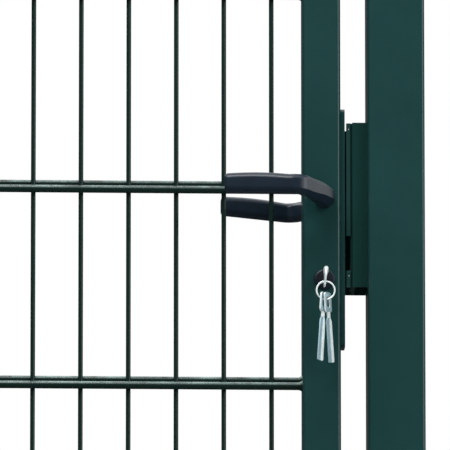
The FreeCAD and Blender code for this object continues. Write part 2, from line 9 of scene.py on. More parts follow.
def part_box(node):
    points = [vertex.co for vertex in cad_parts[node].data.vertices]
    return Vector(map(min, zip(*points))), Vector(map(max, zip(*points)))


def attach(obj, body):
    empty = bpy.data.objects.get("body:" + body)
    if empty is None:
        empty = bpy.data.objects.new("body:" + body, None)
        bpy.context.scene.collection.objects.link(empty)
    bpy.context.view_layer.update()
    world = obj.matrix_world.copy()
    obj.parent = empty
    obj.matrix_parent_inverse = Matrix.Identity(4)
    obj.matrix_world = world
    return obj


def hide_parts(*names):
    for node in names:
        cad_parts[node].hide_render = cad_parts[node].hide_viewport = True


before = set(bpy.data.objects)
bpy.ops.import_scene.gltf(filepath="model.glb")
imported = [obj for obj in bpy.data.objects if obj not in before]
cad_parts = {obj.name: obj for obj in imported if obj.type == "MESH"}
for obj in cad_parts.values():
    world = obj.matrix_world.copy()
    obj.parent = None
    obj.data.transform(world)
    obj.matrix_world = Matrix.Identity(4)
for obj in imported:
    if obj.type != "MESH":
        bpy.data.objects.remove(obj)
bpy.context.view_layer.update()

# The looks of a garden fence gate: green powder-coated steel, a wire mesh, a lever lock and its keys.
# Metres, in the frame's own axes: X from the hinge post to the lock post, -Y to the viewer, +Z up.

bl_info = {
    "name": "Fence gate looks",
    "version": (1, 0, 0),
    "blender": (4, 5, 0),
    "location": "3D View > Sidebar > Fence gate",
    "description": "Builds the visible pieces and finishes of a garden fence gate on its packed frame",
    "category": "Object",
}

MM = 0.001


def low(node):
    return Vector(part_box(node)[0])


def high(node):
    return Vector(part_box(node)[1])


def middle(node):
    return (low(node) + high(node)) / 2


def thickness(node, axis):
    return high(node)[axis] - low(node)[axis]


# Places that the frame gives.
LEAF_LEFT = low("hinge_stile").x
LEAF_RIGHT = high("lock_stile").x
LEAF_BOTTOM = low("hinge_stile").z
LEAF_TOP = high("hinge_stile").z
TUBE = high("hinge_stile").x - LEAF_LEFT
FACE = TUBE / 2
POST_SIDE = high("hinge_post").x
PIN_LINE = middle("lower_hinge_pin").x
SPINDLE = middle("handle_spindle")
CYLINDER = middle("cylinder_body")
HINGES = ("lower", "upper")

# The holes' radius round a 12 mm pin or bolt.
BORE = 6.05 * MM


class GateWires(bpy.types.PropertyGroup):
    """The round wires of the leaf's mesh and the welds that join them."""

    pitch: FloatProperty(
        name="Upright pitch", description="Between upright wires", default=0.050, unit="LENGTH"
    )
    row_pitch: FloatProperty(
        name="Row pitch", description="Between rows of cross wires", default=0.2095, unit="LENGTH"
    )
    upright: FloatProperty(
        name="Upright wire", description="Upright wire's diameter", default=0.005, unit="LENGTH"
    )
    cross: FloatProperty(
        name="Cross wire", description="Cross wire's diameter", default=0.008, unit="LENGTH"
    )
    lift: FloatProperty(
        name="Rear lift", description="How much higher rear cross wires lie", default=0.008, unit="LENGTH"
    )
    sides: IntProperty(name="Sides", description="Sides of each round wire", default=20, min=8)


class GateHardware(bpy.types.PropertyGroup):
    """Bolts, threads and welds that the frame leaves out or shows plain."""

    bolt_head: FloatProperty(
        name="Bolt head", description="Bracket bolt head's diameter", default=0.013, unit="LENGTH"
    )
    bolt_rise: FloatProperty(
        name="Bolt head height", description="How proud a bracket bolt is", default=0.002, unit="LENGTH"
    )
    thread_pitch: FloatProperty(
        name="Thread pitch", description="Eye bolt's thread pitch", default=0.00175, unit="LENGTH"
    )
    thread_depth: FloatProperty(
        name="Thread depth", description="Eye bolt's thread depth", default=0.0008, unit="LENGTH"
    )
    seam: FloatProperty(
        name="Seam width", description="Weld seams at the leaf's corners", default=0.003, unit="LENGTH"
    )
    screw_head: FloatProperty(
        name="Screw head", description="Forend screw head's diameter", default=0.008, unit="LENGTH"
    )


class GateFinish(bpy.types.PropertyGroup):
    """Colours of the gate's finishes, in linear light."""

    green: FloatVectorProperty(
        name="Powder coat", description="Moss green coat", subtype="COLOR", default=(0.005, 0.0345, 0.0335)
    )
    # The strike's coat: the green made darker and duller, as painted shade where the strike sits back
    # between the stile and the post.
    dark_green: FloatVectorProperty(
        name="Shaded strike coat", description="Green darkened as painted shade", subtype="COLOR", default=(0.0062, 0.031, 0.0275)
    )
    plastic: FloatVectorProperty(
        name="Plastic", description="Black plastic", subtype="COLOR", default=(0.0075, 0.0145, 0.0245)
    )
    zinc: FloatVectorProperty(
        name="Zinc", description="Galvanised steel", subtype="COLOR", default=(0.42, 0.43, 0.44)
    )
    nickel: FloatVectorProperty(
        name="Nickel", description="Nickel plate", subtype="COLOR", default=(0.88, 0.97, 0.98)
    )
    # A darker copy of the nickel: partly the duller look of a milling cut, partly painted shade on half of
    # each blade and on the bows' broad faces.
    milled: FloatVectorProperty(
        name="Milled nickel", description="Milled key face, darkened as painted shade", subtype="COLOR", default=(0.3, 0.44, 0.49)
    )
    # The wires' coat is the green made much darker: painted shade for wires lit from above.
    wire: FloatVectorProperty(
        name="Wire coat", description="Mesh wires' coat, darkened as painted shade", subtype="COLOR", default=(0.0035, 0.0155, 0.012)
    )
    # The cylinder's colour: its nickel made near black, as painted shade on the cylinder's face inside the
    # rosette.
    blackened: FloatVectorProperty(
        name="Shadowed", description="Blackened cylinder", subtype="COLOR", default=(0.008, 0.01, 0.015)
    )
    rubber: FloatVectorProperty(
        name="Rubber", description="Black rubber", subtype="COLOR", default=(0.013, 0.013, 0.014)
    )


class GateStage(bpy.types.PropertyGroup):
    """The camera, the floor and the lamps round the gate."""

    aim: FloatVectorProperty(
        name="Aim", description="Point in the view's middle", subtype="XYZ", default=(0.8053, 0.0, 1.028)
    )
    distance: FloatProperty(
        name="Distance", description="From the camera to the aim", default=12.0, unit="LENGTH"
    )
    turn: FloatProperty(
        name="Turn", description="How far the view turns right", default=math.radians(2.0), subtype="ANGLE"
    )
    rise: FloatProperty(
        name="Rise", description="How far the view looks up", default=math.radians(11.92), subtype="ANGLE"
    )
    scale: FloatProperty(
        name="Scale", description="Picture widths for each metre at the gate", default=2.118
    )
    fill: FloatProperty(name="Fill", description="Strength of the even light from all round", default=0.3)


# Mesh helpers.


def join_rings(bm, first, second):
    count = len(first)
    for index in range(count):
        after = (index + 1) % count
        bm.faces.new((first[index], first[after], second[after], second[index]))


def loft(bm, rings, closed=False):
    """Skins over rings of points; a closed loft joins its last ring to its first, another is capped."""
    made = [[bm.verts.new(point) for point in ring] for ring in rings]
    for first, second in zip(made, made[1:]):
        join_rings(bm, first, second)
    if closed:
        join_rings(bm, made[-1], made[0])
    else:
        bm.faces.new(list(reversed(made[0])))
        bm.faces.new(made[-1])


def circle(radius, height, sides):
    """Points of a level circle round the Z axis."""
    for index in range(sides):
        angle = 2 * math.pi * index / sides
        yield Vector((radius * math.cos(angle), radius * math.sin(angle), height))


def revolve(bm, profile, place, sides, closed=False):
    """Turns a profile of radius and height about the place's Z axis."""
    rings = [[place @ point for point in circle(radius, height, sides)] for radius, height in profile]
    loft(bm, rings, closed)


def facing(spot, way):
    """A place at the spot whose Z axis runs the given way."""
    return Matrix.Translation(spot) @ Vector(way).to_track_quat("Z", "Y").to_matrix().to_4x4()


def round_bar(bm, start, end, radius, sides):
    run = Vector(end) - Vector(start)
    revolve(bm, ((radius, 0), (radius, run.length)), facing(start, run), sides)


def prism(bm, outline, depth, place):
    """A flat plate with the outline given in the place's X and Y, as deep as depth along its Z."""
    loft(bm, [[place @ Vector((x, y, height)) for x, y in outline] for height in (0, depth)])


def holed_plate(bm, outline, hole, depth, place):
    """A plate with one hole; the outline and the hole have as many points, in the same order."""
    rings = [(outline, 0), (outline, depth), (hole, depth), (hole, 0)]
    loft(bm, [[place @ Vector((x, y, height)) for x, y in ring] for ring, height in rings], closed=True)


def rounded_box_outline(width, height, corner, steps=6):
    """Points round a rectangle about the origin, with round corners."""
    points = []
    for quarter in range(4):
        sign_x = 1 if quarter in (0, 3) else -1
        sign_y = 1 if quarter in (0, 1) else -1
        centre = Vector((sign_x * (width / 2 - corner), sign_y * (height / 2 - corner)))
        for step in range(steps + 1):
            angle = math.pi / 2 * (quarter + step / steps)
            points.append((centre.x + corner * math.cos(angle), centre.y + corner * math.sin(angle)))
    return points


def round_the_same_way(outline, centre, wide, tall):
    """An oval's points, each in the direction of the outline's point of the same number."""
    points = []
    for x, y in outline:
        angle = math.atan2((y - centre[1]) / tall, (x - centre[0]) / wide)
        points.append((centre[0] + wide * math.cos(angle), centre[1] + tall * math.sin(angle)))
    return points


def weld_bead(bm, start, end, radius, ripple, steps):
    """A low rippled bead along a straight joint, half sunk in it."""
    run = Vector(end) - Vector(start)
    profile = []
    for step in range(steps + 1):
        share = step / steps
        swell = 1 + ripple * math.sin(2 * math.pi * share * steps / 4)
        taper = min(1, 6 * min(share, 1 - share) + 0.35)
        profile.append((radius * swell * taper, run.length * share))
    revolve(bm, profile, facing(start, run), 8)


def put_piece(name, bm, finishes, body, slot, bevel=0.0, flat_facets=False, sharp=35, stands_for=()):
    """Makes the object from the mesh, finishes it and lets it ride on its body."""
    bmesh.ops.recalc_face_normals(bm, faces=bm.faces)
    mesh = bpy.data.meshes.new(name)
    bm.to_mesh(mesh)
    bm.free()
    for setting in finishes if isinstance(finishes, tuple) else (finishes,):
        mesh.materials.append(finish(setting))
    mesh.shade_smooth()
    mesh.set_sharp_from_angle(angle=math.radians(sharp))
    piece = bpy.data.objects.new(name, mesh)
    bpy.context.scene.collection.objects.link(piece)
    if bevel:
        edge = piece.modifiers.new("eased edges", "BEVEL")
        edge.width = bevel
        edge.segments = 3
        edge.limit_method = "ANGLE"
        edge.harden_normals = True
    if flat_facets:
        facets = piece.modifiers.new("flat facets", "WEIGHTED_NORMAL")
        facets.keep_sharp = True
    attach(piece, body)
    if stands_for:
        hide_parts(*stands_for)


def dress(setting, *nodes):
    """Gives frame nodes their detailed finish."""
    for name in nodes:
        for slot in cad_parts[name].material_slots:
            slot.material = finish(setting)


# Shader helpers. Each gives back the node or the output that the next one needs.


def feed(tree, socket, value):
    """Gives an input a plain value or another node's output."""
    if isinstance(value, bpy.types.NodeSocket):
        tree.links.new(value, socket)
    else:
        socket.default_value = value


def wire(tree, kind, inputs=None, **settings):
    """Adds a shader node with its inputs fed and its settings set."""
    made = tree.nodes.new(f"ShaderNode{kind}")
    for name, value in settings.items():
        setattr(made, name, value)
    for name, value in (inputs or {}).items():
        feed(tree, made.inputs[name], value)
    return made


def calc(tree, operation, *values):
    return wire(tree, "Math", dict(enumerate(values)), operation=operation).outputs[0]


def ranged(tree, value, start, end, low_value=0.0, high_value=1.0):
    """Stretches start to end of a value to another range, and clips the rest."""
    ends = {"From Min": start, "From Max": end, "To Min": low_value, "To Max": high_value}
    return wire(tree, "MapRange", {"Value": value, **ends}).outputs[0]


def clouds(tree, place, scale, detail, roughness=0.5):
    """Cloudy noise as one value."""
    inputs = {"Vector": place, "Scale": scale, "Detail": detail, "Roughness": roughness}
    return wire(tree, "TexNoise", inputs).outputs["Fac"]


def mixed(tree, share, first, second):
    """A colour between two, each a colour or a socket."""
    made = wire(tree, "Mix", data_type="RGBA")
    feed(tree, made.inputs["Factor"], share)
    for socket, value in ((made.inputs[6], first), (made.inputs[7], second)):
        feed(tree, socket, value if isinstance(value, bpy.types.NodeSocket) else (*value[:3], 1.0))
    return made.outputs[2]


def shade(colour, factor):
    return tuple(channel * factor for channel in colour)


# Effects that more than one finish uses.


def new_group(name, inputs, outputs):
    """An empty shared effect with its sockets; an input without a number is a vector."""
    tree = bpy.data.node_groups.new(name, "ShaderNodeTree")
    for label, value in inputs.items():
        kind = "NodeSocketFloat" if isinstance(value, float) else "NodeSocketVector"
        socket = tree.interface.new_socket(label, in_out="INPUT", socket_type=kind)
        if value is not None:
            socket.default_value = value
    for label in outputs:
        tree.interface.new_socket(label, in_out="OUTPUT", socket_type="NodeSocketFloat")
    return tree, tree.nodes.new("NodeGroupInput").outputs, tree.nodes.new("NodeGroupOutput").inputs


def edge_wear_group():
    """A mask of the edges that rub bare, broken up by noise."""
    inputs = {"Vector": None, "Reach": 0.001, "Patch scale": 60.0, "Amount": 0.4}
    tree, given, result = new_group("Edge wear", inputs, ("Mask",))
    softened = wire(tree, "Bevel", {"Radius": given["Reach"]}, samples=4).outputs[0]
    faced = wire(tree, "NewGeometry").outputs["Normal"]
    alike = wire(tree, "VectorMath", {0: softened, 1: faced}, operation="DOT_PRODUCT").outputs["Value"]
    edge = ranged(tree, alike, 0.985, 0.85)
    patches = ranged(tree, clouds(tree, given["Vector"], given["Patch scale"], 4.0, 0.65), 0.48, 0.68)
    rubbed = calc(tree, "MULTIPLY", edge, patches)
    feed(tree, result["Mask"], calc(tree, "MULTIPLY", rubbed, given["Amount"]))
    return tree


def pebbled_skin_group():
    """The fine pebbled skin of powder coat or moulded plastic, as a height, and a slow drift."""
    inputs = {"Vector": None, "Scale": 700.0, "Drift scale": 9.0}
    tree, given, result = new_group("Pebbled skin", inputs, ("Height", "Drift"))
    feed(tree, result["Height"], clouds(tree, given["Vector"], given["Scale"], 2.0, 0.4))
    feed(tree, result["Drift"], clouds(tree, given["Vector"], given["Drift scale"], 5.0, 0.6))
    return tree


def dust_and_top_sheen_group():
    """A mask of what faces up, in patches: a thin dusting on most coats, and a painted top highlight on the
    wires' coat.
    """
    inputs = {"Vector": None, "Lowest": 0.55, "Amount": 0.3}
    tree, given, result = new_group("Settled dust", inputs, ("Mask",))
    faced = wire(tree, "SeparateXYZ", {0: wire(tree, "NewGeometry").outputs["Normal"]})
    highest = calc(tree, "ADD", given["Lowest"], 0.45)
    upward = ranged(tree, faced.outputs["Z"], given["Lowest"], highest)
    patches = ranged(tree, clouds(tree, given["Vector"], 35.0, 6.0, 0.7), 0.35, 0.7)
    lying = calc(tree, "MULTIPLY", upward, patches)
    feed(tree, result["Mask"], calc(tree, "MULTIPLY", lying, given["Amount"]))
    return tree


def fine_scratches_group():
    """Hair scratches that run one way, as a mask and a height."""
    inputs = {"Vector": None, "Stretch": (40.0, 40.0, 900.0), "Width": 0.08}
    tree, given, result = new_group("Fine scratches", inputs, ("Mask", "Height"))
    drawn = wire(tree, "VectorMath", {0: given["Vector"], 1: given["Stretch"]}, operation="MULTIPLY")
    streaks = clouds(tree, drawn.outputs[0], 3.0, 5.0, 0.6)
    distance = calc(tree, "ABSOLUTE", calc(tree, "SUBTRACT", streaks, 0.5))
    feed(tree, result["Mask"], ranged(tree, distance, given["Width"], 0.0))
    feed(tree, result["Height"], streaks)
    return tree


GROUP_MAKERS = {
    "Edge wear": edge_wear_group,
    "Pebbled skin": pebbled_skin_group,
    "Settled dust": dust_and_top_sheen_group,
    "Fine scratches": fine_scratches_group,
}


def effect(tree, name, place, inputs):
    """Places a shared effect in a material, making its group the first time, and gives its outputs."""
    made = wire(tree, "Group", node_tree=bpy.data.node_groups.get(name) or GROUP_MAKERS[name]())
    for label, value in {"Vector": place, **inputs}.items():
        feed(tree, made.inputs[label], value)
    return made.outputs


# Finishes.


def blank_material(name):
    """A new material with its tree, its shader and its object's own coordinates."""
    material = bpy.data.materials.new(name)
    material.use_nodes = True
    tree = material.node_tree
    tree.nodes.clear()
    shader = wire(tree, "BsdfPrincipled")
    wire(tree, "OutputMaterial", {"Surface": shader.outputs[0]})
    return material, tree, shader, wire(tree, "TexCoord").outputs["Object"]


def surface(tree, shader, colour, gloss, bump, plain):
    """Feeds the shader its colour, roughness and bump, which is a height, a strength and a depth."""
    feed(tree, shader.inputs["Base Color"], colour)
    feed(tree, shader.inputs["Roughness"], gloss)
    height, strength, depth = bump
    bumped = wire(tree, "Bump", {"Strength": strength, "Distance": depth, "Height": height})
    feed(tree, shader.inputs["Normal"], bumped.outputs[0])
    for name, value in plain.items():
        shader.inputs[name].default_value = value


def powder_coat(name, colour, shine=0.6, level=0.12, dust_and_sheen_amount=0.25, lowest=0.55, pale=(0.16, 0.17, 0.15)):
    """A pebbled skin under a clear shine, with a drift of tone, a pale layer on what faces up and rubbed
    edges; the pale layer is a dusting, and on the wires' coat a painted top highlight.
    """
    material, tree, shader, place = blank_material(name)
    skin = effect(tree, "Pebbled skin", place, {"Scale": 650.0, "Drift scale": 7.0})
    wear = effect(tree, "Edge wear", place, {"Reach": 0.0012, "Patch scale": 45.0, "Amount": 0.35})
    # The pale layer on upward faces: a dusting on the frame's coat, and a painted top highlight at nearly
    # full amount on the wires' coat.
    dust_and_sheen = effect(tree, "Settled dust", place, {"Lowest": lowest, "Amount": dust_and_sheen_amount})
    tone = ranged(tree, skin["Drift"], 0.3, 0.7)
    coat = mixed(tree, tone, shade(colour, 0.88), shade(colour, 1.12))
    rubbed = mixed(tree, wear["Mask"], coat, shade(colour, 2.6))
    dusted_and_lit = mixed(tree, dust_and_sheen["Mask"], rubbed, pale)
    gloss = ranged(tree, skin["Drift"], 0.3, 0.7, 0.38, 0.48)
    plain = {"Specular IOR Level": level, "Coat Weight": shine, "Coat Roughness": 0.16}
    surface(tree, shader, dusted_and_lit, gloss, (skin["Height"], 0.22, 0.00012), plain)
    return material


def shoulder_highlight(tree, place, marks):
    """A painted highlight where the levers' shoulders face the light: on the upper and outer facets of each
    neck, in streaks.
    """
    parts = wire(tree, "SeparateXYZ", {0: place})
    faced = wire(tree, "SeparateXYZ", {0: wire(tree, "NewGeometry").outputs["Normal"]})
    mask = ranged(tree, calc(tree, "ABSOLUTE", parts.outputs["Y"]), FACE + 16 * MM, FACE + 26 * MM)
    toward_lock = ranged(tree, faced.outputs["X"], 0.46, 0.6)
    upward = ranged(tree, faced.outputs["Z"], -0.35, -0.1)
    streaked = ranged(tree, marks, 0.0, 1.0, 1.0, 0.55)
    for share in (toward_lock, upward, streaked):
        mask = calc(tree, "MULTIPLY", mask, share)
    return mask


def moulded_plastic(name, colour):
    """Glass-filled black plastic with a fine spark-eroded skin and rubbed edges, and a paler painted
    highlight on the levers' shoulders.
    """
    material, tree, shader, place = blank_material(name)
    skin = effect(tree, "Pebbled skin", place, {"Scale": 1600.0, "Drift scale": 30.0})
    wear = effect(tree, "Edge wear", place, {"Reach": 0.0015, "Patch scale": 70.0, "Amount": 0.3})
    marks = effect(tree, "Fine scratches", place, {"Stretch": (60.0, 500.0, 500.0), "Width": 0.03})
    tone = ranged(tree, skin["Drift"], 0.3, 0.7)
    body = mixed(tree, tone, shade(colour, 0.85), shade(colour, 1.2))
    rubbed = mixed(tree, wear["Mask"], body, (0.06, 0.06, 0.075))
    # Painted highlight: the necks' facets toward the lock side turn a paler grey.
    highlighted = mixed(tree, shoulder_highlight(tree, place, marks["Mask"]), rubbed, (0.07, 0.078, 0.088))
    gloss = ranged(tree, marks["Mask"], 0.0, 1.0, 0.3, 0.38)
    surface(tree, shader, highlighted, gloss, (skin["Height"], 0.3, 0.00006), {"Specular IOR Level": 0.25})
    return material


def galvanised(name, colour):
    """Dull zinc with its crystal patches."""
    material, tree, shader, place = blank_material(name)
    spangle = wire(tree, "TexVoronoi", {"Vector": place, "Scale": 260.0, "Randomness": 1.0})
    patch = wire(tree, "SeparateColor", {0: spangle.outputs["Color"]}).outputs
    skin = effect(tree, "Pebbled skin", place, {"Scale": 900.0, "Drift scale": 60.0})
    tone = mixed(tree, patch[0], shade(colour, 0.8), shade(colour, 1.15))
    dulled = mixed(tree, ranged(tree, skin["Drift"], 0.45, 0.7), tone, shade(colour, 0.6))
    gloss = ranged(tree, patch[1], 0.0, 1.0, 0.32, 0.5)
    surface(tree, shader, dulled, gloss, (skin["Height"], 0.25, 0.00008), {"Metallic": 1.0})
    return material


def nickel_plate(name, colour):
    """Satin nickel with hair scratches from use."""
    material, tree, shader, place = blank_material(name)
    marks = effect(tree, "Fine scratches", place, {"Stretch": (700.0, 700.0, 60.0), "Width": 0.05})
    skin = effect(tree, "Pebbled skin", place, {"Scale": 500.0, "Drift scale": 120.0})
    plate = mixed(tree, ranged(tree, skin["Drift"], 0.35, 0.7), colour, shade(colour, 0.85))
    gloss = ranged(tree, marks["Mask"], 0.0, 1.0, 0.26, 0.4)
    surface(tree, shader, plate, gloss, (marks["Height"], 0.15, 0.00003), {"Metallic": 0.3})
    return material


def black_rubber(name, colour):
    """Matt rubber with a pale dusting in patches."""
    material, tree, shader, place = blank_material(name)
    skin = effect(tree, "Pebbled skin", place, {"Scale": 1100.0, "Drift scale": 90.0})
    tone = mixed(tree, ranged(tree, skin["Drift"], 0.45, 0.75), colour, shade(colour, 2.2))
    gloss = ranged(tree, skin["Drift"], 0.3, 0.7, 0.7, 0.9)
    surface(tree, shader, tone, gloss, (skin["Height"], 0.4, 0.0001), {"Specular IOR Level": 0.15})
    return material


# Painted top highlight: the wires' upper faces turn pale green at nearly full amount.
WIRE_TOP_HIGHLIGHT = {"shine": 0.5, "level": 0.08, "dust_and_sheen_amount": 0.9, "lowest": 0.15, "pale": (0.2, 0.3, 0.275)}

# Each finish setting's material, its maker, and how it differs from the maker's usual.
FINISHES = {
    "green": ("Green powder coat", powder_coat, {}),
    # The wires' coat: a darker copy of the green as painted shade, with a painted top highlight.
    "wire": ("Wire coat", powder_coat, WIRE_TOP_HIGHLIGHT),
    # Painted shade: a darker, duller copy of the green for the strike.
    "dark_green": ("Dark green powder coat", powder_coat, {"shine": 0.08, "level": 0.03}),
    "plastic": ("Black moulded plastic", moulded_plastic, {}),
    # Painted shade: the cylinder near black in place of its own nickel.
    "blackened": ("Blackened metal", moulded_plastic, {}),
    "zinc": ("Galvanised steel", galvanised, {}),
    "nickel": ("Nickel plate", nickel_plate, {}),
    "milled": ("Milled nickel", nickel_plate, {}),
    "rubber": ("Black rubber", black_rubber, {}),
}


def finish(setting):
    """The material of a finish setting, made the first time that a piece wears it."""
    name, maker, values = FINISHES[setting]
    colour = getattr(bpy.context.scene.gate_finish, setting)
    return bpy.data.materials.get(name) or maker(name, colour, **values)


# Pieces.


class GATE_OT_frame_and_posts(bpy.types.Operator):
    """Coat the posts and the leaf's tubes, and add the weld seams at the leaf's corners"""

    bl_idname = "gate.frame_and_posts"
    bl_label = "Posts and frame"

    def execute(self, context):
        dress("green", "hinge_post", "lock_post", "hinge_stile", "lock_stile", "top_rail", "bottom_rail")
        dress("plastic", "hinge_post_cap", "lock_post_cap")
        bm = bmesh.new()
        radius = context.scene.gate_hardware.seam / 2
        sunk = 0.6 * radius
        inset = 4 * MM
        run = TUBE - inset - 1 * MM
        for left in (True, False):
            outer_x = LEAF_LEFT if left else LEAF_RIGHT
            way_x = 1 if left else -1
            for outer_z, way_z in ((LEAF_BOTTOM, 1), (LEAF_TOP, -1)):
                for side in (-1, 1):
                    face = side * (FACE - sunk)
                    start = Vector((outer_x + way_x * inset, face, outer_z + way_z * inset))
                    end = Vector((outer_x + way_x * run, face, outer_z + way_z * run))
                    weld_bead(bm, start, end, radius, 0.18, 40)
        put_piece("corner_welds", bm, "green", "leaf", "green_coat", sharp=60)
        return {"FINISHED"}


class GATE_OT_wire_mesh(bpy.types.Operator):
    """Round wires in place of the frame's eight-sided ones, with a weld at each crossing and end"""

    bl_idname = "gate.wire_mesh"
    bl_label = "Wire mesh"

    def execute(self, context):
        wires = context.scene.gate_wires
        lowest, highest = low("wire_mesh"), high("wire_mesh")
        centre = (lowest + highest) / 2
        least_beside, least_beyond, fused, sunk = 25 * MM, 100 * MM, 0.3 * MM, 0.1 * MM
        columns = math.floor((highest.x - lowest.x - 2 * least_beside) / wires.pitch)
        rows = math.floor((highest.z - lowest.z - 2 * least_beyond) / wires.row_pitch)
        step = (wires.upright + wires.cross) / 2 - fused
        uprights = [centre.x + (index - columns / 2) * wires.pitch for index in range(columns + 1)]
        heights = [centre.z + (index - rows / 2) * wires.row_pitch for index in range(rows + 1)]
        thin, thick = wires.upright / 2, wires.cross / 2
        bm = bmesh.new()
        for x in uprights:
            round_bar(bm, (x, 0, lowest.z), (x, 0, highest.z), thin, wires.sides)
            for end, way in ((lowest.z, 1), (highest.z, -1)):
                self.end_weld(bm, Vector((x, 0, end)), Vector((0, 0, way)), thin)
        for z in heights:
            for side, lift in ((-1, 0), (1, wires.lift)):
                y = side * step
                round_bar(bm, (lowest.x, y, z + lift), (highest.x, y, z + lift), thick, wires.sides + 4)
                for end, way in ((lowest.x, 1), (highest.x, -1)):
                    self.end_weld(bm, Vector((end, y, z + lift)), Vector((way, 0, 0)), thick)
                for x in uprights:
                    self.crossing_weld(bm, Vector((x, side * (thin - sunk), z + lift)), thin)
        put_piece("round_wire_mesh", bm, "wire", "leaf", "green_coat", sharp=50, stands_for=("wire_mesh",))
        return {"FINISHED"}

    @staticmethod
    def end_weld(bm, foot, way, radius):
        """A fillet skirt where a wire meets a tube."""
        skirt = ((1.45, 0), (1.3, 0.25), (1.12, 0.6), (0.98, 1))
        profile = [(radius * wide, radius * up) for wide, up in skirt]
        revolve(bm, profile, facing(foot, way), 16)

    @staticmethod
    def crossing_weld(bm, spot, radius):
        """A flattened nugget squeezed out between two crossing wires."""
        place = Matrix.Translation(spot)
        nugget = Matrix.Diagonal((radius * 1.35, radius * 0.55, radius * 1.5, 1.0))
        bmesh.ops.create_icosphere(bm, subdivisions=2, radius=1.0, matrix=place @ nugget)


class GATE_OT_hinges(bpy.types.Operator):
    """Brackets with their bolts, turned pins, threaded eye bolts and chamfered nuts"""

    bl_idname = "gate.hinges"
    bl_label = "Hinges"

    def execute(self, context):
        hardware = context.scene.gate_hardware
        for which in HINGES:
            dress("green", f"{which}_hinge_bracket")
            self.bracket_bolts(which, hardware)
            self.pin(which)
            self.eye_bolt(which, hardware)
            self.nuts(which)
        return {"FINISHED"}

    def bracket_bolts(self, which, hardware):
        plate = 4 * MM
        apart_y, apart_z = 12 * MM, 34 * MM
        face = POST_SIDE + plate
        radius, rise = hardware.bolt_head / 2, hardware.bolt_rise
        centre_z = middle(f"{which}_hinge_bracket").z
        bm = bmesh.new()
        dome = [(radius, -0.5 * MM), (radius, 0.25 * rise)]
        for step in range(1, 6):
            angle = math.pi / 2 * step / 6
            dome.append((radius * math.cos(angle), rise * (0.25 + 0.75 * math.sin(angle))))
        for side in (-1, 1):
            for height in (-1, 1):
                spot = Vector((face, side * apart_y, centre_z + height * apart_z))
                revolve(bm, dome, facing(spot, (1, 0, 0)), 28)
        put_piece(f"{which}_bracket_bolts", bm, "zinc", "posts", "zinc")
        bm = bmesh.new()
        arm_top, arm_thick, arm_half = low(f"{which}_eye_bolt").z - 0.3 * MM, 8 * MM, 10 * MM
        for height in (arm_top, arm_top - arm_thick):
            start = Vector((face + 0.2 * MM, -arm_half, height))
            weld_bead(bm, start, start + Vector((0, 2 * arm_half, 0)), 1.6 * MM, 0.2, 16)
        put_piece(f"{which}_bracket_welds", bm, "green", "posts", "green_coat", sharp=60)

    def pin(self, which):
        node = f"{which}_hinge_pin"
        foot, top = low(node).z, high(node).z
        shaft = 6 * MM
        head = thickness(node, 0) / 2
        deep, ease = 3 * MM, 0.6 * MM
        profile = (
            (head - ease, 0),
            (head, ease),
            (head, deep - ease),
            (head - ease, deep),
            (shaft, deep),
            (shaft, top - foot - 1.5 * MM),
            (shaft - 0.5 * MM, top - foot - 0.7 * MM),
            (shaft - 1.5 * MM, top - foot),
        )
        bm = bmesh.new()
        place = Matrix.Translation((PIN_LINE, 0, foot))
        revolve(bm, profile, place, 40)
        put_piece(f"{which}_turned_pin", bm, "zinc", "posts", "zinc", stands_for=(node,))

    def eye_bolt(self, which, hardware):
        """The eye is a thick ring round the pin, and the shank beside it is threaded to its end."""
        node = f"{which}_eye_bolt"
        height = middle(node).z
        half = thickness(node, 2) / 2
        outside = PIN_LINE - low(node).x
        ease, part_ease, lead_in = 1.2 * MM, 0.42 * MM, 0.4 * MM
        bm = bmesh.new()
        ring = (
            (BORE + lead_in, -half),
            (outside - ease, -half),
            (outside - part_ease, -half + part_ease),
            (outside, -half + ease),
            (outside, half - ease),
            (outside - part_ease, half - part_ease),
            (outside - ease, half),
            (BORE + lead_in, half),
            (BORE, half - lead_in),
            (BORE, -half + lead_in),
        )
        revolve(bm, ring, Matrix.Translation((PIN_LINE, 0, height)), 48, closed=True)
        in_eye, before_nut, point = 2.5 * MM, 5 * MM, 1.2 * MM
        start = PIN_LINE + outside - in_eye
        length = high(node).x - start
        crest = 5.98 * MM
        root = crest - hardware.thread_depth
        pitch = hardware.thread_pitch
        place = LEAF_LEFT - before_nut - start
        profile = [(crest, 0), (crest, place)]
        while place + pitch < length - point:
            for radius, share in ((crest, 0.1), (root, 0.5), (crest, 0.9)):
                profile.append((radius, place + share * pitch))
            place += pitch
        profile += [(crest, length - point), (root - 0.3 * MM, length)]
        revolve(bm, profile, facing((start, 0, height), (1, 0, 0)), 32)
        put_piece(f"{which}_threaded_eye_bolt", bm, "zinc", "leaf", "zinc", stands_for=(node,))

    def nuts(self, which):
        """Hexagon nuts with their corners turned off, and the washer behind the inner one."""
        node = f"{which}_hinge_nuts"
        height = middle(node).z
        washer = 2 * MM
        deep = LEAF_LEFT - low(node).x
        bm = bmesh.new()
        flat, rim = 9.5 * MM, 12 * MM
        for start, way in ((LEAF_LEFT, -1), (LEAF_LEFT + TUBE + washer, 1)):
            self.nut(bm, facing((start, 0, height), (way, 0, 0)), flat, deep)
        ring = ((BORE, 0), (rim, 0), (rim, washer - 0.4 * MM), (rim - 0.5 * MM, washer), (BORE, washer))
        revolve(bm, ring, facing((LEAF_LEFT + TUBE, 0, height), (1, 0, 0)), 40, closed=True)
        put_piece(f"{which}_chamfered_nuts", bm, "zinc", "leaf", "zinc", sharp=25, stands_for=(node,))

    @staticmethod
    def nut(bm, place, flat, deep):
        """A nut is the part that a hexagonal bar and a turned cone share, with a bore through it."""
        sides = 48
        corner = flat / math.cos(math.pi / 6)
        chamfer = 0.6 * (corner - flat)
        lead_in = 0.5 * MM
        face_rim = flat - 0.2 * MM

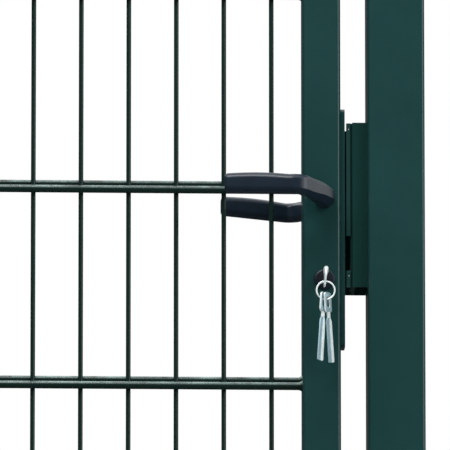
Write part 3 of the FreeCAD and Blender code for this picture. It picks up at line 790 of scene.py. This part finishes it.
        def ring(cone, height):
            points = []
            for index in range(sides):
                angle = 2 * math.pi * index / sides
                nearest = (angle + math.pi / 6) % (math.pi / 3) - math.pi / 6
                reach = min(flat / math.cos(nearest), cone)
                points.append(place @ Vector((reach * math.cos(angle), reach * math.sin(angle), height)))
            return points

        def bore(radius, height):
            return [place @ point for point in circle(radius, height, sides)]

        rings = [
            bore(BORE + lead_in, 0),
            ring(face_rim, 0),
            ring(corner, chamfer),
            ring(corner, deep - chamfer),
            ring(face_rim, deep),
            bore(BORE + lead_in, deep),
            bore(BORE, deep - lead_in),
            bore(BORE, lead_in),
        ]
        loft(bm, rings, closed=True)


def bend(before, corner, after, radius, steps):
    """Places and directions along the arc that rounds a corner of a line."""
    inward = (corner - before).normalized()
    outward = (after - corner).normalized()
    turn = inward.angle(outward)
    side = (outward - inward * inward.dot(outward)).normalized()
    start = corner - inward * (radius * math.tan(turn / 2))
    for step in range(steps + 1):
        angle = turn * step / steps
        place = start + inward * (radius * math.sin(angle)) + side * (radius * (1 - math.cos(angle)))
        yield place, inward * math.cos(angle) + side * math.sin(angle)


def smooth_step(share):
    share = min(1.0, max(0.0, share))
    return share * share * (3 - 2 * share)


def eased_octagon(width, height, chamfer, ease, roundness, steps=3):
    """Points round an eight-sided section with eased corners, drawn out to an oval by its roundness."""
    half_w, half_h = width / 2, height / 2
    corners = []
    for sign_u, sign_v in ((1, 1), (-1, 1), (-1, -1), (1, -1)):
        on_side = Vector((sign_u * half_w, sign_v * (half_h - chamfer)))
        on_top = Vector((sign_u * (half_w - chamfer), sign_v * half_h))
        corners += [on_side, on_top] if sign_u == sign_v else [on_top, on_side]
    points = []
    for index, corner in enumerate(corners):
        back = corners[index - 1] - corner
        onward = corners[(index + 1) % len(corners)] - corner
        reach = min(ease, 0.45 * back.length, 0.45 * onward.length)
        first = corner + back.normalized() * reach
        last = corner + onward.normalized() * reach
        for step in range(steps + 1):
            share = step / steps
            flat = first.lerp(corner, share).lerp(corner.lerp(last, share), share)
            angle = math.atan2(flat.y / half_h, flat.x / half_w)
            oval = Vector((half_w * math.cos(angle), half_h * math.sin(angle)))
            points.append(flat.lerp(oval, roundness))
    return points


class GATE_OT_levers(bpy.types.Operator):
    """The moulded levers: a round boss, a leaning faceted neck, and a grip that turns back at its tip"""

    bl_idname = "gate.levers"
    bl_label = "Levers"

    neck = 22 * MM
    thick = 13 * MM
    tall = 20.5 * MM
    crown = 1.5 * MM
    foot = Vector((0, FACE + 0.3 * MM, 0))
    boss = Vector((0, 33 * MM, 0))
    elbow = Vector((-28 * MM, 76 * MM, 0))
    tip = Vector((-105.5 * MM, 58 * MM, 0))
    elbow_lift = 3.75 * MM
    tip_lift = 7.25 * MM

    def execute(self, context):
        for name, side in (("front", -1), ("rear", 1)):
            bm = bmesh.new()
            loft(bm, [self.section(side, *station) for station in self.stations()])
            edges = {"sharp": 50, "flat_facets": True}
            stands_for = (f"{name}_handle",)
            name = f"{name}_moulded_lever"
            put_piece(name, bm, "plastic", "lever", "black_plastic", stands_for=stands_for, **edges)
        dress("zinc", "handle_spindle")
        return {"FINISHED"}

    def stations(self):
        """Place, direction, width, height, chamfer, easing and roundness of each section, foot to tip."""
        out = Vector((0, 1, 0))
        octagon = self.neck * (1 - math.tan(math.pi / 8)) / 2
        grip_chamfer = 4 * MM
        crisp, soft = 0.6 * MM, 2.4 * MM
        boss_steps, neck_steps, elbow_steps, grip_steps = 6, 12, 12, 10
        boss_arc = list(bend(self.foot, self.boss, self.elbow, 14 * MM, boss_steps))
        elbow_arc = list(bend(self.boss, self.elbow, self.tip, 15 * MM, elbow_steps))
        stations = []
        for place in (self.foot, self.foot + 0.5 * MM * out, self.foot.lerp(boss_arc[0][0], 0.6)):
            stations.append((place, out, self.neck, self.neck, octagon, crisp, 1.0))
        for index, (place, way) in enumerate(boss_arc):
            round_share = 1 - smooth_step(index / boss_steps)
            stations.append((place, way, self.neck, self.neck, octagon, crisp, round_share))
        start, way = boss_arc[-1]
        for step in range(1, neck_steps):
            share = step / neck_steps
            place = start.lerp(elbow_arc[0][0], share)
            place.z = self.elbow_lift * share
            slim = smooth_step((share - 0.15) / 0.85)
            width = self.neck + (self.thick - self.neck) * slim
            chamfer = octagon + (grip_chamfer - octagon) * slim
            height = self.neck + (self.tall - self.neck) * slim
            stations.append((place, way, width, height, chamfer, crisp, 0.0))
        for index, (place, way) in enumerate(elbow_arc):
            place.z = self.elbow_lift
            ease = crisp + (soft - crisp) * index / elbow_steps
            stations.append((place, way, self.thick, self.tall, grip_chamfer, ease, 0.0))
        start, way = elbow_arc[-1]
        end_round = 3.4 * MM
        length = (self.tip - start).length
        depths = [length * (1 - step / grip_steps) for step in range(1, grip_steps)]
        depths += [end_round * share for share in (1.0, 0.7, 0.45, 0.25, 0.1, 0.02, 0.0)]
        for depth in depths:
            share = 1 - depth / length
            place = start.lerp(self.tip, share)
            rise = self.crown * math.sin(math.pi * share)
            place.z = self.elbow_lift + (self.tip_lift - self.elbow_lift) * share + rise / 2
            left = max(0.0, 1 - depth / end_round)
            inset = end_round * (1 - math.sqrt(1 - left * left))
            width, height = self.thick - 2 * inset, self.tall + rise - 2 * inset
            chamfer = max(crisp, grip_chamfer - inset)
            stations.append((place, way, width, height, chamfer, soft, 0.0))
        return stations

    @staticmethod
    def section(side, place, way, width, height, chamfer, ease, roundness):
        level = Vector((way.x, way.y, 0)).normalized()
        across = Vector((level.y, -level.x, 0))
        points = []
        for flat in eased_octagon(width, height, chamfer, ease, roundness):
            point = place + across * flat.x + Vector((0, 0, flat.y))
            points.append(Vector((SPINDLE.x + point.x, side * point.y, SPINDLE.z + point.z)))
        return points


def screw_head(bm, spot, way, radius, rise):
    """A domed head with a cross recess pressed into it, standing on a face at the spot."""
    place = facing(spot, way)
    rings = []
    sides = 48
    for step in range(10):
        share = 1 - step / 9.6
        points = []
        for point in circle(radius * share, 0, sides):
            height = rise * math.sqrt(max(0.0, 1 - share * share * 0.9))
            arm = min(abs(point.x), abs(point.y))
            if arm < 0.13 * radius and share < 0.62:
                height -= 0.55 * rise
            points.append(place @ Vector((point.x, point.y, height)))
        rings.append(points)
    rings.insert(0, [place @ point for point in circle(radius, -0.3 * MM, sides)])
    loft(bm, rings)


class GATE_OT_lock(bpy.types.Operator):
    """Forend, bolts, cylinder and rosettes with their turned edges and screws"""

    bl_idname = "gate.lock"
    bl_label = "Lock"

    def execute(self, context):
        dress("green", "lock_forend")
        dress("zinc", "lock_case", "latch_bolt", "dead_bolt")
        # The cylinder is near black as painted shade.
        dress("blackened", "cylinder_body", "cylinder_plug")
        for name in ("front_rosette", "rear_rosette"):
            self.rosette(name)
        bm = bmesh.new()
        lowest, highest = low("lock_forend"), high("lock_forend")
        radius = 0.9 * context.scene.gate_hardware.screw_head / 2
        from_end, sunk = 9 * MM, 0.4 * MM
        for height in (highest.z - from_end, lowest.z + from_end):
            screw_head(bm, Vector((highest.x - sunk, 0, height)), (1, 0, 0), radius, 0.9 * MM)
        put_piece("forend_screws", bm, "zinc", "leaf", "zinc", sharp=30)
        return {"FINISHED"}

    @staticmethod
    def rosette(name):
        side = -1 if low(name).y < 0 else 1
        inner = side * FACE
        rise = thickness(name, 1)
        rim = thickness(name, 0) / 2
        bore = thickness("cylinder_body", 0) / 2 + 0.1 * MM
        profile = (
            (bore, 0),
            (rim, 0),
            (rim, 0.45 * rise),
            (rim - 0.12 * rise, 0.72 * rise),
            (rim - 0.45 * rise, 0.93 * rise),
            (rim - 0.8 * rise, rise),
            (bore + 0.25 * rise, rise),
            (bore, 0.8 * rise),
        )
        bm = bmesh.new()
        revolve(bm, profile, facing((CYLINDER.x, inner, CYLINDER.z), (0, side, 0)), 56, closed=True)
        put_piece(f"{name}_turned", bm, "plastic", "leaf", "black_plastic", stands_for=(name,))


class GATE_OT_strike(bpy.types.Operator):
    """The folded strike with its plate, both in a darker green as painted shade, domed screws and rubber
    buffers
    """

    bl_idname = "gate.strike"
    bl_label = "Strike"

    def execute(self, context):
        # The strike and its plate wear the darker green as painted shade.
        dress("dark_green", "strike_bracket", "strike_plate")
        dress("rubber", "stop_buffers")
        node = "strike_screws"
        screws_low, screws_high = low(node), high(node)
        face = low("strike_plate").x
        radius = (screws_high.y - screws_low.y) / 2
        rise = face - screws_low.x
        heights = (screws_low.z + radius, screws_high.z - radius)
        bm = bmesh.new()
        for height in heights:
            spot = Vector((face, 0, height))
            screw_head(bm, spot, (-1, 0, 0), radius, rise)
            round_bar(bm, spot, Vector((screws_high.x, 0, height)), 2 * MM, 20)
        put_piece("strike_domed_screws", bm, "zinc", "posts", "zinc", sharp=30, stands_for=(node,))
        self.lip(face, heights)
        return {"FINISHED"}

    @staticmethod
    def lip(face, screw_heights):
        """The plate's bevelled front lip, cut away above the cylinder, with a small screw at each end."""
        lowest, highest = low("strike_plate"), high("strike_plate")
        front = low("strike_bracket").y + 2.6 * MM
        reach, deep, sheet = 4.4 * MM, 2.4 * MM, 1.1 * MM
        outline = (
            (face, front),
            (face, front + sheet),
            (face - reach + sheet, front + deep),
            (face - reach, front + deep),
            (face - reach, front + deep - sheet),
        )
        bm = bmesh.new()
        cut_foot, cut_top = CYLINDER.z + 11 * MM, CYLINDER.z + 48 * MM
        for foot, top in ((lowest.z, cut_foot), (cut_top, highest.z)):
            prism(bm, outline, top - foot, Matrix.Translation((0, 0, foot)))
        put_piece("strike_lip", bm, "green", "posts", "green_coat", bevel=0.25 * MM)
        bm = bmesh.new()
        slope = Vector((-deep, -reach, 0)).normalized()
        for height in screw_heights:
            spot = Vector((face - 0.5 * reach, front + 0.5 * deep, height)) - 0.1 * MM * slope
            screw_head(bm, spot, slope, 1.5 * MM, 0.7 * MM)
        put_piece("lip_screws", bm, "zinc", "posts", "zinc", sharp=30)


class GATE_OT_keys(bpy.types.Operator):
    """The key in the lock, its split ring and the hung keys with their milled blades"""

    bl_idname = "gate.keys"
    bl_label = "Keys"

    def execute(self, context):
        self.key_in_lock()
        self.split_ring()
        for name, side in (("left_hanging_key", -1), ("right_hanging_key", 1)):
            self.hung_key(name, side)
        return {"FINISHED"}

    def key_in_lock(self):
        """The bow stands edge-on, swollen like a drop at its top, with its hole low in front."""
        node = "key_in_lock"
        lowest, highest = low(node), high(node)
        sheet = highest.x - lowest.x
        radius = (highest.z - lowest.z) / 2
        bow_y = lowest.y + radius
        side_on = Matrix(((0, 0, 1, 0), (1, 0, 0, 0), (0, 1, 0, 0), (0, 0, 0, 1)))
        lean = math.radians(5)
        place = Matrix.Translation((CYLINDER.x, 0, CYLINDER.z)) @ Matrix.Rotation(lean, 4, "Y") @ side_on
        hole_at, hole_radius = (bow_y - 4 * MM, -5.5 * MM), 2.5 * MM
        top_share, swollen = 0.86, 1.8 * MM
        outline = []
        for point in circle(radius, 0, 64):
            outline.append((bow_y + point.x, point.y * (top_share if point.y > 0 else 1)))
        hole = round_the_same_way(outline, hole_at, hole_radius, hole_radius)
        bm = bmesh.new()
        rings = []
        rim = ((0, 0.4), (0.03, 0.66), (0.08, 0.86), (0.16, 0.97), (0.4, 1))
        web = ((0.7, 1), (0.88, 0.95), (1, 0.6))
        for share, full in rim + web:
            ring = []
            for (outer_y, outer_z), (inner_y, inner_z) in zip(outline, hole):
                y = outer_y + (inner_y - outer_y) * share
                z = outer_z + (inner_z - outer_z) * share
                swell = math.exp(-(((z - 6.6 * MM) / (5 * MM)) ** 2) - ((y - bow_y) / (9 * MM)) ** 2)
                half = (0.5 * sheet + 0.1 * MM + swollen * swell) * full
                ring.append((y, z, half))
            rings.append(ring)
        near = [[place @ Vector((y, z, -half)) for y, z, half in ring] for ring in rings]
        far = [[place @ Vector((y, z, half)) for y, z, half in ring] for ring in reversed(rings)]
        loft(bm, near + far, closed=True)
        flat = place @ Matrix.Translation((0, 0, -sheet / 2))
        shoulder = -FACE - 4 * MM
        half = 5 * MM
        back, front = bow_y + 0.85 * radius, shoulder - 0.6 * MM
        prism(bm, [(back, -half), (front, -half), (front, half), (back, half)], sheet, flat)
        self.blade(bm, flat, sheet, shoulder - 1 * MM, highest.y)
        put_piece("key_in_lock_cut", bm, "nickel", "key", "nickel", bevel=0.2 * MM, stands_for=(node,))

    @staticmethod
    def blade(bm, place, sheet, start, end):
        """A short blade with cuts along its lower edge."""
        foot, top = -4 * MM, 4 * MM
        ease, thick, cuts = 1.5 * MM, 1.5 * MM, 5
        outline = [(start, top), (start, foot)]
        span = (end - start) / cuts
        for cut in range(cuts):
            deep = (1.4 + 0.8 * ((cut * 2) % 3)) * MM
            base = start + cut * span
            for share, height in ((0.3, foot), (0.5, foot + deep), (0.7, foot + deep), (0.9, foot)):
                outline.append((base + share * span, height))
        outline += [(end, foot + ease), (end, top - ease), (end - ease, top)]
        prism(bm, outline, thick, place @ Matrix.Translation((0, 0, (sheet - thick) / 2)))

    @staticmethod
    def split_ring():
        """Two turns of flattened wire that lie side by side."""
        node = "key_ring"
        centre = middle(node)
        wire_radius = thickness(node, 1) / 2
        mean = thickness(node, 0) / 2 - wire_radius
        turns, steps = 2, 64
        points = []
        for index in range(turns * steps + 1):
            angle = 2 * math.pi * index / steps + 0.6
            shift = (index / (turns * steps) - 0.5) * wire_radius * 0.96
            points.append(centre + Vector((mean * math.cos(angle), shift, mean * math.sin(angle))))
        rings = []
        for point in points:
            outward = Vector((point.x - centre.x, 0, point.z - centre.z)).normalized()
            ring = []
            for flat in circle(wire_radius, 0, 10):
                ring.append(point + outward * (0.85 * flat.x) + Vector((0, 0.5 * flat.y, 0)))
            rings.append(ring)
        bm = bmesh.new()
        loft(bm, rings)
        put_piece("split_key_ring", bm, "nickel", "ring", "nickel", stands_for=(node,))

    def hung_key(self, name, side):
        """A flat key on the ring's foot: a bow with its hole, a narrow neck, and a blade milled lower."""
        mean = thickness("key_ring", 0) / 2 - 1 * MM
        spread, turned, splay = 2 * MM, math.radians(56), math.radians(6.5)
        drop = math.sqrt(mean * mean - spread * spread)
        origin = middle("key_ring") + Vector((side * spread, 0, -drop))
        turn = Matrix.Rotation(turned, 4, "Z") @ Matrix.Rotation(-side * splay, 4, "Y")
        upright = Matrix(((1, 0, 0, 0), (0, 0, -1, 0), (0, 1, 0, 0), (0, 0, 0, 1)))
        sheet = 2 * MM
        place = Matrix.Translation(origin) @ turn @ upright @ Matrix.Translation((0, 0, -sheet / 2))
        bow_top, bow_height, bow_width = 7 * MM, 21 * MM, 12 * MM
        bow_middle = bow_top - bow_height / 2
        outline = [(x, y + bow_middle) for x, y in rounded_box_outline(bow_width, bow_height, 3 * MM)]
        hole_at, hole_wide, hole_tall = (0, -3.2 * MM), 4.45 * MM, 6.05 * MM
        hole = round_the_same_way(outline, hole_at, hole_wide, hole_tall)
        bm = bmesh.new()
        holed_plate(bm, outline, hole, sheet, place)
        # The bow's broad faces wear the darker nickel as painted shade; its rim stays bright.
        flat = place.to_3x3() @ Vector((0, 0, 1))
        for face in bm.faces:
            face.normal_update()
            face.material_index = 1 if abs(face.normal.dot(flat)) > 0.7 else 0
        neck_top = bow_top - bow_height
        neck_foot = neck_top - 5 * MM
        half, sunk = 2 * MM, 1 * MM
        foot, top = neck_foot - sunk, neck_top + sunk
        prism(bm, [(-half, foot), (half, foot), (half, top), (-half, top)], sheet, place)
        self.milled_blade(bm, place, sheet, neck_foot)
        both = ("nickel", "milled")
        put_piece(f"{name}_milled", bm, both, "hung_keys", "nickel", bevel=0.15 * MM, stands_for=(name,))

    @staticmethod
    def milled_blade(bm, place, sheet, top):
        """The blade widens downwards; one half is cut lower by milling and wears the darker nickel, partly
        painted shade, beside a bright rib and edge.
        """
        narrow, wide = 4.2 * MM, 4.75 * MM
        foot = top - 48 * MM
        bright = len(bm.faces)
        back = [(-wide, foot), (wide - 1.2 * MM, foot), (wide, foot + 1.2 * MM), (narrow, top - 4.5 * MM)]
        back += [(2 * MM, top), (-2 * MM, top), (-narrow, top - 4.5 * MM)]
        prism(bm, back, 0.65 * sheet, place)
        bm.faces.ensure_lookup_table()
        # The cut half wears the darker nickel, partly painted shade.
        for face in bm.faces[bright:]:
            face.material_index = 1
        inner = 0.4 * MM
        rib = [(inner, foot + inner), (wide - 1.4 * MM, foot + inner), (wide - 0.2 * MM, foot + 1.6 * MM)]
        rib += [(narrow - 0.1 * MM, top - 4.6 * MM), (1.8 * MM, top - 0.2 * MM), (inner, top - 0.2 * MM)]
        prism(bm, rib, 0.6 * sheet, place @ Matrix.Translation((0, 0, 0.4 * sheet)))


class GATE_OT_stage(bpy.types.Operator):
    """The camera, the pale floor, the white surroundings and the soft lamps"""

    bl_idname = "gate.stage"
    bl_label = "Stage"

    # Each lamp's name, place, the point that it lights, size, watts, and whether shiny pieces mirror it.
    lamps = (
        ("overhead", (0.1, 0.7, 3.5), (0.1, 0.0, 1.0), (2.0, 2.2), 110.0, False),
        ("front left", (-0.3, -2.2, 4.2), (0.8, 0.0, 1.0), (1.8, 1.8), 130.0, True),
        ("front right", (3.6, -2.9, 2.8), (0.8, 0.0, 0.9), (1.8, 1.8), 72.0, False),
        ("lock side", (3.3, -1.3, 1.7), (0.9, 0.0, 1.0), (1.2, 1.8), 22.0, True),
    )

    def execute(self, context):
        stage = context.scene.gate_stage
        context.scene.view_settings.view_transform = "Standard"
        self.camera(context, stage)
        self.floor(context)
        self.surroundings(context, stage)
        for lamp in self.lamps:
            self.lamp(context, *lamp)
        return {"FINISHED"}

    @staticmethod
    def camera(context, stage):
        turn, rise = stage.turn, stage.rise
        forward = Vector((math.sin(turn) * math.cos(rise), math.cos(turn) * math.cos(rise), math.sin(rise)))
        view = bpy.data.objects.new("gate_camera", bpy.data.cameras.new("gate_camera"))
        context.scene.collection.objects.link(view)
        view.location = Vector(stage.aim) - forward * stage.distance
        view.rotation_euler = forward.to_track_quat("-Z", "Y").to_euler()
        view.data.sensor_width = 36
        view.data.lens = 36 * stage.scale * stage.distance
        view.data.clip_end = 200
        context.scene.camera = view

    @staticmethod
    def floor(context):
        """Pale from above and clear from beneath, because the far camera looks up from under its level."""
        mesh = bpy.data.meshes.new("floor")
        reach = 40.0
        corners = [(-reach, -reach, 0), (reach, -reach, 0), (reach, reach, 0), (-reach, reach, 0)]
        mesh.from_pydata(corners, [], [(0, 1, 2, 3)])
        material, tree, shader, place = blank_material("Pale floor")
        tone = mixed(tree, clouds(tree, place, 3.0, 5.0), (0.56, 0.56, 0.555), (0.6, 0.6, 0.595))
        feed(tree, shader.inputs["Base Color"], tone)
        shader.inputs["Roughness"].default_value = 0.85
        underside = wire(tree, "NewGeometry").outputs["Backfacing"]
        clear = wire(tree, "BsdfTransparent").outputs[0]
        either = wire(tree, "MixShader", {0: underside, 1: shader.outputs[0], 2: clear})
        feed(tree, tree.nodes["Material Output"].inputs["Surface"], either.outputs[0])
        mesh.materials.append(material)
        floor = bpy.data.objects.new("floor", mesh)
        context.scene.collection.objects.link(floor)
        floor.visible_glossy = False

    @staticmethod
    def surroundings(context, stage):
        """White to the eye; in reflections dim all round, brighter overhead and on the lock's side."""
        world = bpy.data.worlds.new("Soft studio")
        context.scene.world = world
        world.use_nodes = True
        tree = world.node_tree
        tree.nodes.clear()
        ray = wire(tree, "LightPath").outputs
        direction = wire(tree, "SeparateXYZ", {0: wire(tree, "TexCoord").outputs["Generated"]}).outputs
        overhead = ranged(tree, direction["Z"], 0.3, 0.8, 0.06, 2.4)
        lock_side = ranged(tree, direction["X"], 0.6, 0.95, 0.0, 0.25)
        gleam = calc(tree, "MAXIMUM", overhead, lock_side)
        mirrored = calc(tree, "MULTIPLY", ray["Is Glossy Ray"], gleam)
        seen = calc(tree, "MAXIMUM", ray["Is Camera Ray"], ray["Is Transmission Ray"])
        spread = calc(tree, "MULTIPLY", ray["Is Diffuse Ray"], stage.fill)
        strength = calc(tree, "MAXIMUM", calc(tree, "MAXIMUM", seen, mirrored), spread)
        sky = wire(tree, "Background", {"Color": (1.0, 1.0, 1.0, 1.0), "Strength": strength})
        wire(tree, "OutputWorld", {"Surface": sky.outputs[0]})

    @staticmethod
    def lamp(context, name, place, aim, size, watts, mirrored):
        light = bpy.data.lights.new(name, "AREA")
        light.shape = "RECTANGLE"
        light.size, light.size_y = size
        light.energy = watts
        lamp = bpy.data.objects.new(name, light)
        context.scene.collection.objects.link(lamp)
        lamp.location = place
        lamp.rotation_euler = (Vector(aim) - Vector(place)).to_track_quat("-Z", "Y").to_euler()
        lamp.visible_camera = False
        lamp.visible_glossy = mirrored


class GATE_PT_panel(bpy.types.Panel):
    """Lists the gate's pieces and what a user may change"""

    bl_idname = "GATE_PT_panel"
    bl_label = "Fence gate"
    bl_space_type = "VIEW_3D"
    bl_region_type = "UI"
    bl_category = "Fence gate"

    def draw(self, context):
        for name, operators in GROUPS.items():
            box = self.layout.box()
            settings = getattr(context.scene, name)
            for field in settings.bl_rna.properties.keys():
                if field not in ("rna_type", "name"):
                    box.prop(settings, field)
            for operator in operators:
                box.operator(operator.bl_idname)


GROUPS = {
    "gate_stage": (GATE_OT_stage,),
    "gate_finish": (GATE_OT_frame_and_posts,),
    "gate_wires": (GATE_OT_wire_mesh,),
    "gate_hardware": (GATE_OT_hinges, GATE_OT_levers, GATE_OT_lock, GATE_OT_strike, GATE_OT_keys),
}
SETTINGS = {
    "gate_stage": GateStage,
    "gate_finish": GateFinish,
    "gate_wires": GateWires,
    "gate_hardware": GateHardware,
}
OPERATORS = [operator for group in GROUPS.values() for operator in group]
CLASSES = (*SETTINGS.values(), *OPERATORS, GATE_PT_panel)


def register():
    for cls in CLASSES:
        bpy.utils.register_class(cls)
    for name, group in SETTINGS.items():
        setattr(bpy.types.Scene, name, PointerProperty(type=group))


def unregister():
    for name in SETTINGS:
        delattr(bpy.types.Scene, name)
    for cls in reversed(CLASSES):
        bpy.utils.unregister_class(cls)


def main():
    register()
    bpy.ops.gate.stage()
    bpy.ops.gate.frame_and_posts()
    bpy.ops.gate.wire_mesh()
    bpy.ops.gate.hinges()
    bpy.ops.gate.levers()
    bpy.ops.gate.lock()
    bpy.ops.gate.strike()
    bpy.ops.gate.keys()


if __name__ == "__main__":
    main()
